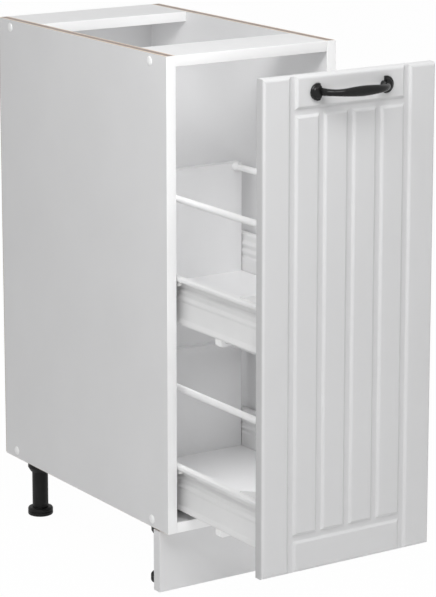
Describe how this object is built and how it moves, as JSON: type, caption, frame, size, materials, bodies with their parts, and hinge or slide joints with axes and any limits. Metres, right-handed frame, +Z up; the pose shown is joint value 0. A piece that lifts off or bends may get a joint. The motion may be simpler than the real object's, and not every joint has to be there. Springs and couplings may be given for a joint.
{
  "type": "pull-out pantry cabinet",
  "caption": "Narrow white base cabinet whose grooved front pulls out roller-borne trays with steel sides and gallery rods, on a plinth and adjustable legs.",
  "frame": {"origin": "on the floor, under the middle of the box that the cabinet fills with its pull-out open as pictured", "axes": "+Z up, the front and its handle face -Y, +X to the right of a person who looks at the front's back from inside"},
  "size_m": [0.3036, 0.78, 0.82],
  "materials": {
    "white_board": "white melamine-faced chipboard, satin",
    "white_band": "white glued edge band",
    "white_fibreboard": "white-faced thin fibreboard",
    "white_foil": "fibreboard wrapped in matt white foil",
    "white_steel": "white powder coat",
    "white_plastic": "white moulded plastic",
    "black_plastic": "black moulded plastic",
    "black_metal": "matt black cast metal",
    "zinc_steel": "zinc-plated steel"
  },
  "bodies": {
    "carcass": {"left_side_panel": "white_board", "right_side_panel": "white_board", "bottom_panel": "white_board", "front_top_rail": "white_board", "rear_top_rail": "white_board", "back_panel": "white_fibreboard", "edge_bands": "white_band", "carcass_screws": "zinc_steel", "screw_caps": "white_plastic", "back_pins": "zinc_steel", "leg_sockets": "black_plastic", "leg_pipes": "black_plastic", "leg_screws": "zinc_steel", "plinth_board": "white_board", "plinth_clips": "black_plastic", "plinth_clip_screws": "zinc_steel", "runner_screws": "zinc_steel", "runner_axles": "zinc_steel", "runner_lower_left": "white_steel", "runner_lower_right": "white_steel", "runner_upper_left": "white_steel", "runner_upper_right": "white_steel"},
    "pull_out": {"front_panel": "white_foil", "handle": "black_metal", "handle_screws": "zinc_steel", "board_screws": "zinc_steel", "bracket_screws": "zinc_steel", "rod_front_cups": "white_plastic", "rod_rear_cups": "white_plastic", "front_brackets": "white_steel", "base_clips": "white_plastic", "tray_axles": "zinc_steel", "tray_base_lower": "white_board", "tray_back_lower": "white_board", "tray_side_lower_left": "white_steel", "gallery_rod_lower_left": "white_steel", "tray_side_lower_right": "white_steel", "gallery_rod_lower_right": "white_steel", "tray_base_upper": "white_board", "tray_back_upper": "white_board", "tray_side_upper_left": "white_steel", "gallery_rod_upper_left": "white_steel", "tray_side_upper_right": "white_steel", "gallery_rod_upper_right": "white_steel"},
    "cabinet_roller_lower_left": {"cabinet_roller_lower_left": "white_plastic"},
    "tray_roller_lower_left": {"tray_roller_lower_left": "white_plastic"},
    "cabinet_roller_lower_right": {"cabinet_roller_lower_right": "white_plastic"},
    "tray_roller_lower_right": {"tray_roller_lower_right": "white_plastic"},
    "cabinet_roller_upper_left": {"cabinet_roller_upper_left": "white_plastic"},
    "tray_roller_upper_left": {"tray_roller_upper_left": "white_plastic"},
    "cabinet_roller_upper_right": {"cabinet_roller_upper_right": "white_plastic"},
    "tray_roller_upper_right": {"tray_roller_upper_right": "white_plastic"},
    "foot_front_left": {"foot_front_left": "black_plastic"},
    "foot_front_right": {"foot_front_right": "black_plastic"},
    "foot_rear_left": {"foot_rear_left": "black_plastic"},
    "foot_rear_right": {"foot_rear_right": "black_plastic"}
  },
  "joints": [
    {"name": "pull_out_slide", "type": "slide", "parent": "carcass", "child": "pull_out", "axis": [0, -1, 0], "range_m": [-0.227, 0.116]},
    {"name": "cabinet_roller_lower_left_spin", "type": "hinge", "parent": "carcass", "child": "cabinet_roller_lower_left", "pos_m": [-0.1266, -0.105, 0.1955], "axis": [1, 0, 0], "continuous": true},
    {"name": "tray_roller_lower_left_spin", "type": "hinge", "parent": "pull_out", "child": "tray_roller_lower_left", "pos_m": [-0.1258, 0.1, 0.183], "axis": [1, 0, 0], "continuous": true},
    {"name": "cabinet_roller_lower_right_spin", "type": "hinge", "parent": "carcass", "child": "cabinet_roller_lower_right", "pos_m": [0.1266, -0.105, 0.1955], "axis": [1, 0, 0], "continuous": true},
    {"name": "tray_roller_lower_right_spin", "type": "hinge", "parent": "pull_out", "child": "tray_roller_lower_right", "pos_m": [0.1258, 0.1, 0.183], "axis": [1, 0, 0], "continuous": true},
    {"name": "cabinet_roller_upper_left_spin", "type": "hinge", "parent": "carcass", "child": "cabinet_roller_upper_left", "pos_m": [-0.1266, -0.105, 0.4835], "axis": [1, 0, 0], "continuous": true},
    {"name": "tray_roller_upper_left_spin", "type": "hinge", "parent": "pull_out", "child": "tray_roller_upper_left", "pos_m": [-0.1258, 0.1, 0.471], "axis": [1, 0, 0], "continuous": true},
    {"name": "cabinet_roller_upper_right_spin", "type": "hinge", "parent": "carcass", "child": "cabinet_roller_upper_right", "pos_m": [0.1266, -0.105, 0.4835], "axis": [1, 0, 0], "continuous": true},
    {"name": "tray_roller_upper_right_spin", "type": "hinge", "parent": "pull_out", "child": "tray_roller_upper_right", "pos_m": [0.1258, 0.1, 0.471], "axis": [1, 0, 0], "continuous": true},
    {"name": "foot_front_left_adjust", "type": "slide", "parent": "carcass", "child": "foot_front_left", "axis": [0, 0, -1], "range_m": [0, 0.02]},
    {"name": "foot_front_right_adjust", "type": "slide", "parent": "carcass", "child": "foot_front_right", "axis": [0, 0, -1], "range_m": [0, 0.02]},
    {"name": "foot_rear_left_adjust", "type": "slide", "parent": "carcass", "child": "foot_rear_left", "axis": [0, 0, -1], "range_m": [0, 0.02]},
    {"name": "foot_rear_right_adjust", "type": "slide", "parent": "carcass", "child": "foot_rear_right", "axis": [0, 0, -1], "range_m": [0, 0.02]}
  ],
  "couplings": [
    {"joint": "cabinet_roller_lower_left_spin", "follows": "pull_out_slide", "rad_per_m": 166.67},
    {"joint": "tray_roller_lower_left_spin", "follows": "pull_out_slide", "rad_per_m": 166.67},
    {"joint": "cabinet_roller_lower_right_spin", "follows": "pull_out_slide", "rad_per_m": 166.67},
    {"joint": "tray_roller_lower_right_spin", "follows": "pull_out_slide", "rad_per_m": 166.67},
    {"joint": "cabinet_roller_upper_left_spin", "follows": "pull_out_slide", "rad_per_m": 166.67},
    {"joint": "tray_roller_upper_left_spin", "follows": "pull_out_slide", "rad_per_m": 166.67},
    {"joint": "cabinet_roller_upper_right_spin", "follows": "pull_out_slide", "rad_per_m": 166.67},
    {"joint": "tray_roller_upper_right_spin", "follows": "pull_out_slide", "rad_per_m": 166.67}
  ]
}
